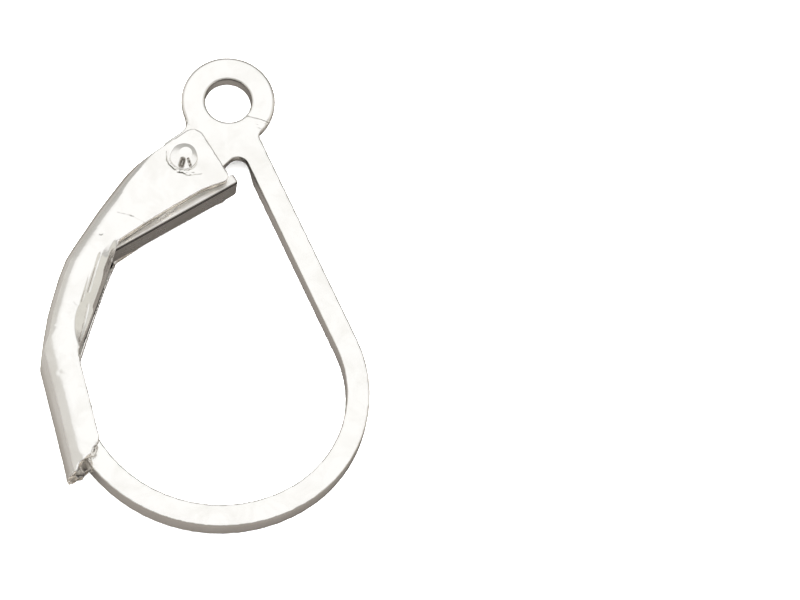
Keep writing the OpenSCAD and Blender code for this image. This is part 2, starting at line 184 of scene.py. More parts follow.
@dataclass(frozen=True)
class Wiring:
    """Short ways to add shader nodes and to link them.

    Attributes:
        tree: The tree that the nodes are in.
    """

    tree: bpy.types.NodeTree

    def feed(self, socket: Socket, value: Socket | float | tuple[float, ...]) -> None:
        """Links a socket, or sets it.

        Args:
            socket: The input.
            value: An output to link to it, or else a plain value. A plain colour has no alpha.
        """
        if isinstance(value, Socket):
            self.tree.links.new(value, socket)
        elif socket.type == "RGBA":
            socket.default_value = (*value, 1)
        else:
            socket.default_value = value

    def node(
        self, kind: str, inputs: dict[str | int, object] | None = None, **settings: str
    ) -> bpy.types.ShaderNode:
        """Adds a node.

        Args:
            kind: Type of the node, without the words that every type begins with.
            inputs: What its inputs are fed with, by name or number.
            settings: Its other settings.

        Returns:
            The node.
        """
        node = self.tree.nodes.new(f"ShaderNode{kind}")
        for name, value in settings.items():
            setattr(node, name, value)
        for key, value in (inputs or {}).items():
            self.feed(node.inputs[key], value)
        return node

    def ranged(
        self, value: Socket, low: float, high: float, start: float = 0.0, end: float = 1.0
    ) -> Socket:
        """Stretches one range of a value over another, and holds it at the ends.

        Args:
            value: The value.
            low: Value that becomes the start.
            high: Value that becomes the end.
            start: What the result starts from.
            end: What the result ends at.

        Returns:
            The result.
        """
        inputs = {"Value": value, "From Min": low, "From Max": high, "To Min": start, "To Max": end}
        return self.node("MapRange", inputs).outputs["Result"]

    def mixed(
        self,
        share: Socket | float,
        first: Socket | Triple,
        second: Socket | Triple,
        blend: Blend = Blend.PLAIN,
    ) -> Socket:
        """Mixes two colours.

        Args:
            share: Share of the second one.
            first: The first colour.
            second: The second colour.
            blend: How they are mixed.

        Returns:
            The mixed colour.
        """
        inputs = {0: share, MIX_FIRST: first, MIX_SECOND: second}
        node = self.node("Mix", inputs, data_type="RGBA", blend_type=blend.value)
        return node.outputs[MIX_RESULT]

    def ramp(self, value: Socket, rows: Iterable[tuple[float, float, float, float]]) -> Socket:
        """Turns a value into a colour.

        Args:
            value: The value, from 0 to 1.
            rows: Values, each followed by the colour there.

        Returns:
            The colour.
        """
        rows = tuple(rows)
        node = self.node("ValToRGB", {"Fac": value})
        stops = node.color_ramp.elements
        while len(stops) < len(rows):
            stops.new(0.5)  # Each stop gets its real place below.
        for stop, (at, *colour) in zip(stops, rows):
            stop.position = at
            stop.color = (*colour, 1)
        return node.outputs["Color"]

    def measured(self, vector: Socket, measure: Measure, other: Triple) -> Socket:
        """Measures a vector against a fixed one.

        Args:
            vector: The vector.
            measure: What is measured.
            other: The fixed vector.

        Returns:
            The measure.
        """
        inputs = {0: vector, 1: other}
        return self.node("VectorMath", inputs, operation=measure.value).outputs["Value"]

    def streaked(self, place: Socket, turn: float, size: Triple) -> Socket:
        """Draws a place out, so that a cloudy pattern on it becomes streaks.

        Args:
            place: Object coordinates, in millimetres.
            turn: Direction in which the streaks run, in degrees.
            size: Size of a cloud along the streaks, across them and in depth.

        Returns:
            The drawn-out place.
        """
        inputs = {"Vector": place, "Rotation": (0, 0, math.radians(turn)), "Scale": size}
        return self.node("Mapping", inputs, vector_type="TEXTURE").outputs["Vector"]

    def clouded(self, place: Socket, clouds: Clouds) -> Socket:
        """Adds a cloudy pattern.

        Args:
            place: Where the pattern is looked up.
            clouds: The pattern.

        Returns:
            Its value, from 0 to 1.
        """
        inputs = {
            "Vector": place,
            "Scale": clouds.scale,
            "Detail": clouds.detail,
            "Roughness": clouds.rough,
            "Distortion": clouds.warp,
        }
        return self.node("TexNoise", inputs).outputs["Fac"]

    def raised(self, pattern: Socket, height: float, normal: Socket | None = None) -> Socket:
        """Raises the surface by a pattern.

        Args:
            pattern: The pattern, from 0 to 1.
            height: Height of the pattern, in millimetres.
            normal: The normal so far, if there is one.

        Returns:
            The new normal.
        """
        inputs = {"Height": pattern, "Distance": height * MM}
        if normal is not None:
            inputs["Normal"] = normal
        return self.node("Bump", inputs).outputs["Normal"]


@dataclass(frozen=True)
class SilverFinish:
    """Polished silver with a fine grain, faint smears and small scratches.

    Attributes:
        name: Name of the material.
        colour: Colour of the clean metal.
        smear: Colour of the metal where it is smeared or dulled.
        shine: Roughness of the clean metal.
        dull: Roughness of the dulled metal.
        grain: Height of the fine grain, in millimetres.
        scratch: Height of the scratches, in millimetres.
        spread: Share of the surface that is dulled, from 0 to 1.
        fade: How softly the smears end, outwards and inwards.
        smears: Pattern of the smears.
        grains: Pattern of the grain.
        scratches: Pattern of the scratches.
        scratch_deg: How far the scratches' pattern is turned, in degrees.
        scratch_form: How closely that pattern is packed along the scratches and across them.
    """

    name: str
    colour: Triple = (0.955, 0.945, 0.925)
    smear: Triple = (0.86, 0.845, 0.81)
    shine: float = 0.13
    dull: float = 0.3
    grain: float = 0.0012
    scratch: float = 0.0016
    spread: float = 0.42
    fade: Pair = (0.14, 0.22)
    smears: Clouds = Clouds(0.9, 6.0, 0.62, 0.5)
    grains: Clouds = Clouds(11.0, 4.0)
    scratches: Clouds = Clouds(2.2, 3.0)
    scratch_deg: float = -62.0
    scratch_form: Triple = (0.35, 9.0, 9.0)

    def build(self) -> bpy.types.Material:
        """Makes the material's nodes.

        Returns:
            The material, which reads Object coordinates and the piece's own normal only.
        """
        material = bpy.data.materials.new(self.name)
        material.use_nodes = True
        wiring = Wiring(material.node_tree)
        shader = material.node_tree.nodes["Principled BSDF"].inputs
        wiring.feed(shader["Metallic"], 1.0)
        metres = wiring.node("TexCoord").outputs["Object"]
        scale = wiring.node("Mapping", {"Vector": metres, "Scale": (1 / MM,) * 3})
        place = scale.outputs["Vector"]

        clean = 1 - self.spread
        clouds = wiring.clouded(place, self.smears)
        dulled = wiring.ranged(clouds, clean - self.fade[0], clean + self.fade[1])
        tint = wiring.mixed(dulled, self.colour, self.smear)
        wiring.feed(shader["Base Color"], self.coat(wiring, place, tint))
        wiring.feed(shader["Roughness"], wiring.ranged(dulled, 0.0, 1.0, self.shine, self.dull))

        turn = (0, 0, math.radians(self.scratch_deg))
        inputs = {"Vector": place, "Rotation": turn, "Scale": self.scratch_form}
        lines = wiring.clouded(wiring.node("Mapping", inputs).outputs["Vector"], self.scratches)
        low = wiring.raised(lines, self.scratch)
        fine = wiring.raised(wiring.clouded(place, self.grains), self.grain, low)
        wiring.feed(shader["Normal"], self.work(wiring, place, fine))
        return material

    def coat(self, wiring: Wiring, place: Socket, colour: Socket) -> Socket:
        """Changes the metal's colour. Plain silver keeps it.

        Args:
            wiring: The material's nodes.
            place: Object coordinates, in millimetres.
            colour: The colour so far.

        Returns:
            The new colour.
        """
        return colour

    def work(self, wiring: Wiring, place: Socket, normal: Socket) -> Socket:
        """Changes the metal's fine relief. Plain silver keeps it.

        Args:
            wiring: The material's nodes.
            place: Object coordinates, in millimetres.
            normal: The normal so far.

        Returns:
            The new normal.
        """
        return normal


@dataclass(frozen=True, kw_only=True)
class EdgedFinish(SilverFinish):
    """Silver whose cut edges carry shear streaks and a painted dark brown reflection, on the faces
    that look one way.

    Attributes:
        way: Direction that the cut edges face, in the row's frame.
        reach: How nearly a face looks that way where the brown begins and where it is full.
        turn: Direction in which the streaks run, in degrees.
        size: Size of a streak.
        streaks: Pattern of the streaks.
        contrast: Values of the pattern that are darkest and lightest.
        brown: Colour of the darkest streaks of the painted reflection.
        tan: Colour of the lightest ones.
        bare: Share of the cut edges that still mirrors.
    """

    scratch: float = 0.0026
    way: Triple
    reach: Pair = (0.78, 0.93)
    turn: float = 32.5
    size: Triple = (0.8, 0.07, 0.07)
    streaks: Clouds = Clouds(1.0, 2.0)
    contrast: Pair = (0.38, 0.62)
    brown: Triple = (0.05, 0.04, 0.03)
    tan: Triple = (0.34, 0.305, 0.255)
    bare: float = 0.35

    def coat(self, wiring: Wiring, place: Socket, colour: Socket) -> Socket:
        """Paints a streaked brown reflection on what faces the way of the cut edges, and lets it
        mirror less.

        Args:
            wiring: The material's nodes.
            place: Object coordinates, in millimetres.
            colour: The colour so far.

        Returns:
            The new colour.
        """
        normal = wiring.node("TexCoord").outputs["Normal"]
        # What faces the cut edges' way gets a painted dark brown reflection, streaked as shear
        # marks.
        cut = wiring.ranged(wiring.measured(normal, Measure.ALONG, self.way), *self.reach)
        metallic = wiring.tree.nodes["Principled BSDF"].inputs["Metallic"]
        wiring.feed(metallic, wiring.ranged(cut, 0.0, 1.0, 1.0, self.bare))
        lines = wiring.clouded(wiring.streaked(place, self.turn, self.size), self.streaks)
        streak = wiring.mixed(wiring.ranged(lines, *self.contrast), self.brown, self.tan)
        return wiring.mixed(cut, colour, streak)


@dataclass(frozen=True, kw_only=True)
class PitShadeFinish(SilverFinish):
    """Silver with painted shade in the pits of the rivet's head.

    Attributes:
        spots: Places of the painted shade, in millimetres in the row's frame, each with its radius.
        pit_shade: Colour of the painted shade in the pits.
        core: Share of the radius within which the painted shade is full.
    """

    spots: tuple[tuple[Triple, float], ...]
    pit_shade: Triple = (0.47, 0.45, 0.42)
    core: float = 0.5

    def coat(self, wiring: Wiring, place: Socket, colour: Socket) -> Socket:
        """Paints shade into the metal at the spots, in the rivet's pits.

        Args:
            wiring: The material's nodes.
            place: Object coordinates, in millimetres.
            colour: The colour so far.

        Returns:
            The new colour.
        """
        # Each spot is painted shade, darkening a pit of the rivet's head.
        for at, radius in self.spots:
            away = wiring.measured(place, Measure.AWAY, at)
            near = wiring.ranged(away, radius, radius * self.core)
            colour = wiring.mixed(near, colour, self.pit_shade)
        return colour


@dataclass(frozen=True, kw_only=True)
class BladeFinish(SilverFinish):
    """Sprung silver, dull on its faces, with painted highlights along its edges and a painted shade
    band near its upper edge.

    Attributes:
        up: Direction across the blade, in the row's frame.
        middle: Distance of the blade's middle along that direction, in millimetres.
        half: Half width of the blade, in millimetres.
        dull_and_painted_light_bands: Places across the blade, from 0 to 1, each with the brightness
            there: the dull faces, painted highlights at both edges and a painted shade band inside
            the upper one.
    """

    smear: Triple = (0.84, 0.82, 0.78)
    shine: float = 0.2
    dull: float = 0.4
    spread: float = 0.55
    up: Triple
    middle: float
    half: float = 0.55
    # The dull faces at about half brightness, painted highlights at both edges and painted shade
    # just inside the upper edge.
    dull_and_painted_light_bands: tuple[Pair, ...] = (
        (0.02, 0.8),
        (0.035, 0.56),
        (0.77, 0.52),
        (0.8, 0.05),
        (0.93, 0.03),
        (0.95, 1.0),
    )

    def coat(self, wiring: Wiring, place: Socket, colour: Socket) -> Socket:
        """Dulls the faces, paints highlights along the edges and paints a shade band near the upper
        edge.

        Args:
            wiring: The material's nodes.
            place: Object coordinates, in millimetres.
            colour: The colour so far.

        Returns:
            The new colour.
        """
        across = wiring.measured(place, Measure.ALONG, self.up)
        share = wiring.ranged(across, self.middle - self.half, self.middle + self.half)
        # Painted highlights and painted shade across the blade, over its dull tone.
        light = wiring.ramp(share, ((at, bright, bright, bright) for at, bright in self.dull_and_painted_light_bands))
        return wiring.mixed(1.0, colour, light, Blend.DARKER)


@dataclass(frozen=True, kw_only=True)
class CreasedFinish(SilverFinish):
    """Silver with fine creases at one place, where a seam was closed.

    Attributes:
        middle: Middle of the creases, in millimetres in the row's frame.
        radius: Radius of the creased patch, in millimetres.
        core: Share of the radius within which the creases are full.
        turn: Direction in which they run, in degrees.
        size: Size of a crease.
        creases: Pattern of the creases.
        height: Height of the creases, in millimetres.
    """

    middle: Triple
    radius: float = 0.34
    core: float = 0.5
    turn: float = -20.0
    size: Triple = (0.9, 0.075, 0.9)
    creases: Clouds = Clouds(1.0, 1.0)
    height: float = 0.04

    def work(self, wiring: Wiring, place: Socket, normal: Socket) -> Socket:
        """Adds the creases, fading out round their middle.

        Args:
            wiring: The material's nodes.
            place: Object coordinates, in millimetres.
            normal: The normal so far.

        Returns:
            The new normal.
        """
        away = wiring.measured(place, Measure.AWAY, self.middle)
        near = wiring.ranged(away, self.radius, self.radius * self.core)
        lines = wiring.clouded(wiring.streaked(place, self.turn, self.size), self.creases)
        deep = wiring.node("Math", {0: lines, 1: near}, operation="MULTIPLY").outputs["Value"]
        return wiring.raised(deep, self.height, normal)


# ---- relief ----


@dataclass(frozen=True)
class Groove:
    """A shallow groove in the upper skin, or a pit where both ends are one.

    Attributes:
        start: One end, in the flat plane.
        end: The other end.
        width: Half width of the groove.
        depth: Depth of the groove.
        sharp: Whether its section is a sharp wedge and not a soft hollow.
        skin_from: How nearly the skin faces up where the groove begins to show.
        skin_over: How much more nearly it faces up where the groove is full.
    """

    start: Pair
    end: Pair
    width: float
    depth: float
    sharp: bool = False
    skin_from: float = 0.2
    skin_over: float = 0.5

    def press(self, flat: np.ndarray, facing: np.ndarray) -> np.ndarray:
        """Depth of the groove at each point.

        Args:
            flat: Points in the flat plane.
            facing: How far each point's normal faces up, from -1 to 1.

        Returns:
            How far each point sinks.
        """
        start, run = np.array(self.start), np.array(self.end) - np.array(self.start)
        length = max(float(run @ run), sys.float_info.epsilon)
        share = np.clip(((flat[:, :2] - start) @ run) / length, 0, 1)
        away = np.linalg.norm(flat[:, :2] - start - share[:, None] * run, axis=1) / self.width
        skin = np.clip((facing - self.skin_from) / self.skin_over, 0, 1)
        section = np.clip(1 - away, 0, 1) if self.sharp else np.exp(-(away**2))
        return self.depth * section * skin


@dataclass(frozen=True)
class Ripple:
    """Slow waves left by hand work.

    Attributes:
        height: Height of the waves.
        length: Length of the waves.
        seed: Seed of their directions.
        count: How many waves run through one another.
        spread: Shortest and longest wave, as shares of the length.
    """

    height: float
    length: float
    seed: int
    count: int = 7
    spread: Pair = (0.7, 1.6)

    def press(self, flat: np.ndarray) -> np.ndarray:
        """Depth of the waves at each point.

        Args:
            flat: Points in the flat frame.

        Returns:
            How far each point sinks.
        """
        draw = np.random.default_rng(self.seed)
        total = np.zeros(len(flat))
        for _ in range(self.count):
            way = draw.normal(size=3)
            way *= 2 * math.pi / (self.length * draw.uniform(*self.spread)) / np.linalg.norm(way)
            total += np.sin(flat @ way + draw.uniform(0, 2 * math.pi))
        return total * self.height / math.sqrt(self.count)


# A scratch, dents, the scar round the rivet and the crimp's lines: both ends, half width and depth.
CHEEK_MARKS = (
    Groove((-3.39, -4.1), (-2.95, -4.2), 0.045, 0.03),
    Groove((-2.95, -4.2), (-2.52, -4.43), 0.045, 0.026),
    Groove((-3.9, -4.85), (-3.9, -4.85), 0.06, 0.05),
    Groove((-4.66, -7.11), (-4.6, -7.2), 0.05, 0.03),
    Groove((-4.84, -7.48), (-4.84, -7.48), 0.05, 0.03),
    Groove((-5.15, -8.35), (-5.15, -8.35), 0.05, 0.012),
    Groove((-5.22, -7.92), (-4.98, -8.05), 0.04, 0.01),
    Groove((-5.07, -9.45), (-4.39, -9.84), 0.09, 0.022),
    Groove((-1.89, -2.03), (-1.88, -2.3), 0.05, 0.065, sharp=True),
    Groove((-1.88, -2.3), (-1.82, -2.42), 0.05, 0.05, sharp=True),
    Groove((-1.82, -2.42), (-1.64, -2.6), 0.055, 0.06, sharp=True),
    Groove((-1.56, -2.69), (-1.47, -2.66), 0.05, 0.05, sharp=True),
    Groove((-1.47, -2.66), (-1.24, -2.76), 0.055, 0.06, sharp=True),
    Groove((-1.24, -2.76), (-1.07, -2.73), 0.05, 0.06, sharp=True),
    Groove((-1.07, -2.73), (-0.84, -2.71), 0.045, 0.05, sharp=True),
    Groove((-3.81, -5.09), (-4.24, -6.78), 0.045, 0.014, sharp=True),
    Groove((-4.05, -5.42), (-4.43, -7.11), 0.045, 0.016, sharp=True),
    Groove((-4.24, -7.11), (-4.55, -8.87), 0.045, 0.012, sharp=True),
)
# The two pits in the rivet's head: both ends, half width and depth.
RIVET_MARKS = (
    Groove((-1.425, -2.4), (-1.475, -2.57), 0.105, 0.19, sharp=True),
    Groove((-1.25, -2.37), (-1.17, -2.56), 0.05, 0.12, sharp=True),
)
# The ring's seam and the creases beside it: both ends, half width and depth.
FRAME_MARKS = (
    Groove((0.56, -0.475), (1.5, -0.735), 0.045, 0.04, sharp=True),
    Groove((0.93, -0.68), (1.38, -0.8), 0.045, 0.03, sharp=True),
    Groove((0.9, -0.78), (1.3, -0.89), 0.045, 0.03, sharp=True),
    Groove((0.98, -0.88), (1.22, -0.96), 0.045, 0.03, sharp=True),
)
# Painted shade in the rivet's pits: its place in the flat frame and its radius.
PIT_SHADE = (
    ((-1.42, -2.43, 1.04), 0.125),
    ((-1.45, -2.55, 1.0), 0.13),
    ((-1.245, -2.42, 1.08), 0.075),
    ((-1.19, -2.53, 1.04), 0.075),
)
# Middle of the fine creases beside the seam, in the flat frame.
CREASES_AT = (1.0, -0.8, 0.4)
# Direction in the flat plane that the cheeks' cut edges look, as the spring does.
SPRING_DEG = 302.5


# ---- pieces ----


def soften_tree() -> bpy.types.NodeTree:
    """Makes the node tree that softens a remeshed solid's edges.

    Returns:
        A tree with the inputs Rounds and Metal.
    """
    tree = bpy.data.node_groups.new("soften metal", "GeometryNodeTree")
    for name, kind in (("Geometry", "Geometry"), ("Rounds", "Int"), ("Metal", "Material")):
        tree.interface.new_socket(name, in_out="INPUT", socket_type=f"NodeSocket{kind}")
    tree.interface.new_socket("Geometry", in_out="OUTPUT", socket_type="NodeSocketGeometry")
    nodes, links = tree.nodes, tree.links
    start, end = nodes.new("NodeGroupInput"), nodes.new("NodeGroupOutput")
    place = nodes.new("GeometryNodeInputPosition")
    blur = nodes.new("GeometryNodeBlurAttribute")
    blur.data_type = "FLOAT_VECTOR"
    move = nodes.new("GeometryNodeSetPosition")
    real = nodes.new("GeometryNodeRealizeInstances")
    dress = nodes.new("GeometryNodeSetMaterial")
    value = next(s for s in blur.inputs if s.enabled and s.name == "Value")
    result = next(s for s in blur.outputs if s.enabled)
    links.new(place.outputs["Position"], value)
    links.new(start.outputs["Rounds"], blur.inputs["Iterations"])
    links.new(start.outputs["Geometry"], move.inputs["Geometry"])
    links.new(result, move.inputs["Position"])
    links.new(move.outputs["Geometry"], real.inputs["Geometry"])
    links.new(real.outputs["Geometry"], dress.inputs["Geometry"])
    links.new(start.outputs["Metal"], dress.inputs["Material"])
    links.new(dress.outputs["Geometry"], end.inputs["Geometry"])
    return tree


def apply_modifiers(thing: bpy.types.Object) -> None:
    """Gives an object the mesh that its modifiers make, and takes them off.

    Args:
        thing: The object.
    """
    bpy.context.view_layer.update()
    graph = bpy.context.evaluated_depsgraph_get()
    mesh = bpy.data.meshes.new_from_object(thing.evaluated_get(graph), depsgraph=graph)
    thing.modifiers.clear()
    thing.data = mesh


@dataclass(kw_only=True)
class MetalPiece:
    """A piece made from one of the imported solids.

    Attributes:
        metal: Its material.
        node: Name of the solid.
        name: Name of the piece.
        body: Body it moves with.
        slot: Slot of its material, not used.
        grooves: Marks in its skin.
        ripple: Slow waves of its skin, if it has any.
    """

    metal: bpy.types.Material
    node: str
    name: str
    body: Body
    slot: Slot
    grooves: tuple[Groove, ...] = ()
    ripple: Ripple | None = None

    def copy_solid(self, nodes: dict[str, bpy.types.Object]) -> bpy.types.Object:
        """Copies the solid's mesh, merged, in millimetres.

        Args:
            nodes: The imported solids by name.

        Returns:
            The new object, linked to the scene.
        """
        mesh = nodes[self.node].data.copy()
        shape = bmesh.new()
        shape.from_mesh(mesh)
        bmesh.ops.scale(shape, vec=(1 / MM,) * 3, verts=shape.verts)
        bmesh.ops.remove_doubles(shape, verts=shape.verts, dist=WELD)
        shape.to_mesh(mesh)
        shape.free()
        mesh.materials.clear()
        mesh.materials.append(self.metal)
        if mesh.has_custom_normals:
            mesh.attributes.remove(mesh.attributes["custom_normal"])
        thing = bpy.data.objects.new(self.name, mesh)
        bpy.context.scene.collection.objects.link(thing)
        return thing

    def shape(self, thing: bpy.types.Object) -> None:
        """Gives the copy its finished form. Each kind of piece has its own."""
        raise NotImplementedError

    def form(self, flat: np.ndarray) -> np.ndarray:
        """Where the points of the flat frame lie once formed. A plain piece keeps them."""
        return flat

    def mark(self, mesh: bpy.types.Mesh, plane: FlatPlane) -> None:
        """Forms a mesh in millimetres, and presses the marks and the waves into it.

        Args:
            mesh: The mesh.
            plane: The flat wire's plane.
        """
        count = len(mesh.vertices)
        places, normals = np.zeros(count * 3), np.zeros(count * 3)
        mesh.vertices.foreach_get("co", places)
        mesh.vertices.foreach_get("normal", normals)
        places, normals = places.reshape(-1, 3), normals.reshape(-1, 3)
        flat = plane.to_flat(places * MM)
        facing = (normals @ plane.turn)[:, 2]
        sink = np.zeros(count)
        for groove in self.grooves:
            sink += groove.press(flat, facing)
        if self.ripple:
            sink += self.ripple.press(flat)
        formed = plane.to_row(self.form(flat)) / MM
        mesh.vertices.foreach_set("co", (formed - normals * sink[:, None]).ravel())
        mesh.update()

    def build(self, nodes: dict[str, bpy.types.Object], plane: FlatPlane) -> None:
        """Makes the piece and hands it to the frame.

        Args:
            nodes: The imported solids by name.
            plane: The flat wire's plane.
        """
        thing = self.copy_solid(nodes)
        self.shape(thing)
        self.mark(thing.data, plane)
        thing.data.transform(Matrix.Scale(MM, 4))
        thing.data.update()
        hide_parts(self.node)
        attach(thing, self.body.value)
        log.info("%s: %d faces, from %s", self.name, len(thing.data.polygons), self.node)


@dataclass(kw_only=True)
class SpringPiece(MetalPiece):
    """The leaf spring, cut from flat stock, whose edges are broken.

    Attributes:
        edge: Radius of the broken edges.
        steps: Facets across each edge.
        sharp_deg: Least angle of an edge that is broken.
        level_deg: Angle below which two faces are taken as one.
    """

    node: str = "leaf_spring"
    name: str = "spring_blade"
    body: Body = Body.LEVER
    slot: Slot = Slot.SPRING
    edge: float = 0.03
    steps: int = 3
    sharp_deg: float = 32.0
    level_deg: float = 0.4

    def shape(self, thing: bpy.types.Object) -> None:
        """Breaks the edges and evens out the normals.

        Args:
            thing: The copy of the solid.
        """
        shape = bmesh.new()
        shape.from_mesh(thing.data)
        bmesh.ops.dissolve_limit(
            shape,
            angle_limit=math.radians(self.level_deg),
            verts=shape.verts,
            edges=shape.edges,
            use_dissolve_boundaries=False,
        )
        for face in shape.faces:
            face.smooth = True
        shape.to_mesh(thing.data)
        shape.free()
        bevel = thing.modifiers.new("broken edges", "BEVEL")
        bevel.width = self.edge
        bevel.segments = self.steps
        bevel.limit_method = "ANGLE"
        bevel.angle_limit = math.radians(self.sharp_deg)
        bevel.use_clamp_overlap = False
        bevel.harden_normals = True
        apply_modifiers(thing)


@dataclass(kw_only=True)
class SoftPiece(MetalPiece):
    """A pressed piece, softened all over.

    Attributes:
        tree: The tree that softens it.
        cell: Size of the cells that its surface is rebuilt from.
        rounds: How many times the surface is softened.
    """

    tree: bpy.types.NodeTree
    slot: Slot = Slot.SILVER
    cell: float
    rounds: int

    def shape(self, thing: bpy.types.Object) -> None:
        """Rebuilds the surface in even cells and softens its edges.

        Args:
            thing: The copy of the solid.
        """
        remesh = thing.modifiers.new("even cells", "REMESH")
        remesh.mode = "VOXEL"
        remesh.voxel_size = self.cell
        remesh.use_smooth_shade = True
        apply_modifiers(thing)
        soften = thing.modifiers.new("soften", "NODES")
        soften.node_group = self.tree
        items = self.tree.interface.items_tree
        sockets = {item.name: item.identifier for item in items if item.in_out == "INPUT"}
        soften[sockets["Rounds"]] = self.rounds
        soften[sockets["Metal"]] = self.metal
        apply_modifiers(thing)
        thing.data.polygons.foreach_set("use_smooth", [True] * len(thing.data.polygons))


@dataclass(kw_only=True)
class RivetPiece(SoftPiece):
    """The rivet, whose heads have a small flat in the middle, a gentle slope and a steep rim.

    Attributes:
        under: Height of the underside of the heads, from the middle of the wire.
        head_r: Radius of the heads.
        head_h: Height of the heads.
        least_h: Least height of the heads, at their rim.
        flat_at: Place of the middle of the flat, from the rivet's axis.
        flat_r: Radius of the flat.
        slope: Fall of the gentle slope.
        rim: Fall of the rim.
        uneven: Share by which their outline is uneven.
        lobes: Waves round that outline: how many, where they start and how strong they are.
        below: How far under the heads' underside the outline is still uneven.
    """

    node: str = "rivet"
    name: str = "rivet_pin"
    body: Body = Body.FRAME
    grooves: tuple[Groove, ...] = RIVET_MARKS
    cell: float = 0.02
    rounds: int = 2
    under: float = 0.935
    head_r: float = 0.465
    head_h: float = 0.25
    least_h: float = 0.015
    flat_at: Pair = (0.05, 0.07)
    flat_r: float = 0.19
    slope: float = 0.44
    rim: float = 4.0
    uneven: float = 0.03
    lobes: tuple[Triple, ...] = ((3, 0.6, 0.6), (5, 0.0, 0.4))
    below: float = 0.02

    def form(self, flat: np.ndarray) -> np.ndarray:
        """Presses the heads into their form.

        Args:
            flat: Points in the flat frame.

        Returns:
            Where they lie once formed.
        """
        axis = np.array(PIN[:2])
        arm, level = flat[:, :2] - axis, np.abs(flat[:, 2])
        away = np.linalg.norm(arm, axis=1)
        from_flat = np.linalg.norm(arm - np.array(self.flat_at), axis=1) - self.flat_r
        gentle = self.head_h - self.slope * np.clip(from_flat, 0, 1)
        side = self.rim * np.clip(self.head_r - away, 0, 1)
        tall = self.under + np.clip(np.minimum(gentle, side), self.least_h, None)
        over = level > self.under + self.least_h
        turn = np.arctan2(arm[:, 1], arm[:, 0])
        wave = 1 + sum(np.sin(count * turn + begin) * strong for count, begin, strong in self.lobes)
        wide = 1 - self.uneven * wave * np.clip(away / self.head_r, 0, 1) ** 2
        head = level > self.under - self.below
        out = flat.copy()
        out[:, 2] = np.where(over, np.sign(flat[:, 2]) * tall, flat[:, 2])
        out[:, :2] = np.where(head[:, None], axis + arm * wide[:, None], flat[:, :2])
        return out


@dataclass(kw_only=True)
class FramePiece(SoftPiece):
    """The formed flat wire, whose charm ring has a rounded rim.

    Attributes:
        ring_r: Radius of the charm ring.
        round_r: Radius of its rounded upper rim.
        half: Half thickness of the wire.
        head_deg: Directions between which the ring runs into the head and the shank.
        fade_deg: Turn past those directions over which the rounding comes in.
        slack: How far past the ring's radius its rim may stand.
    """

    node: str = "hook_frame"
    name: str = "flat_wire"
    body: Body = Body.FRAME
    grooves: tuple[Groove, ...] = FRAME_MARKS
    cell: float = 0.036
    rounds: int = 8
    ring_r: float = 1.47
    round_r: float = 0.15
    half: float = 0.4
    head_deg: Pair = (-142.0, -42.0)
    fade_deg: float = 16.0
    slack: float = 0.03

    def form(self, flat: np.ndarray) -> np.ndarray:
        """Rounds the ring's rim.

        Args:
            flat: Points in the flat frame.

        Returns:
            Where they lie once formed.
        """
        away = np.linalg.norm(flat[:, :2], axis=1)
        turn = np.degrees(np.arctan2(flat[:, 1], flat[:, 0]))
        past = np.maximum(self.head_deg[0] - turn, turn - self.head_deg[1])
        free = np.clip(past / self.fade_deg, 0, 1)
        over = np.clip(away - (self.ring_r - self.round_r), 0, self.round_r)
        drop = self.round_r - np.sqrt(self.round_r**2 - over**2)
        limit = np.where(away < self.ring_r + self.slack, self.half - drop * free, np.inf)
        out = flat.copy()
        out[:, 2] = np.minimum(flat[:, 2], limit)
        return out


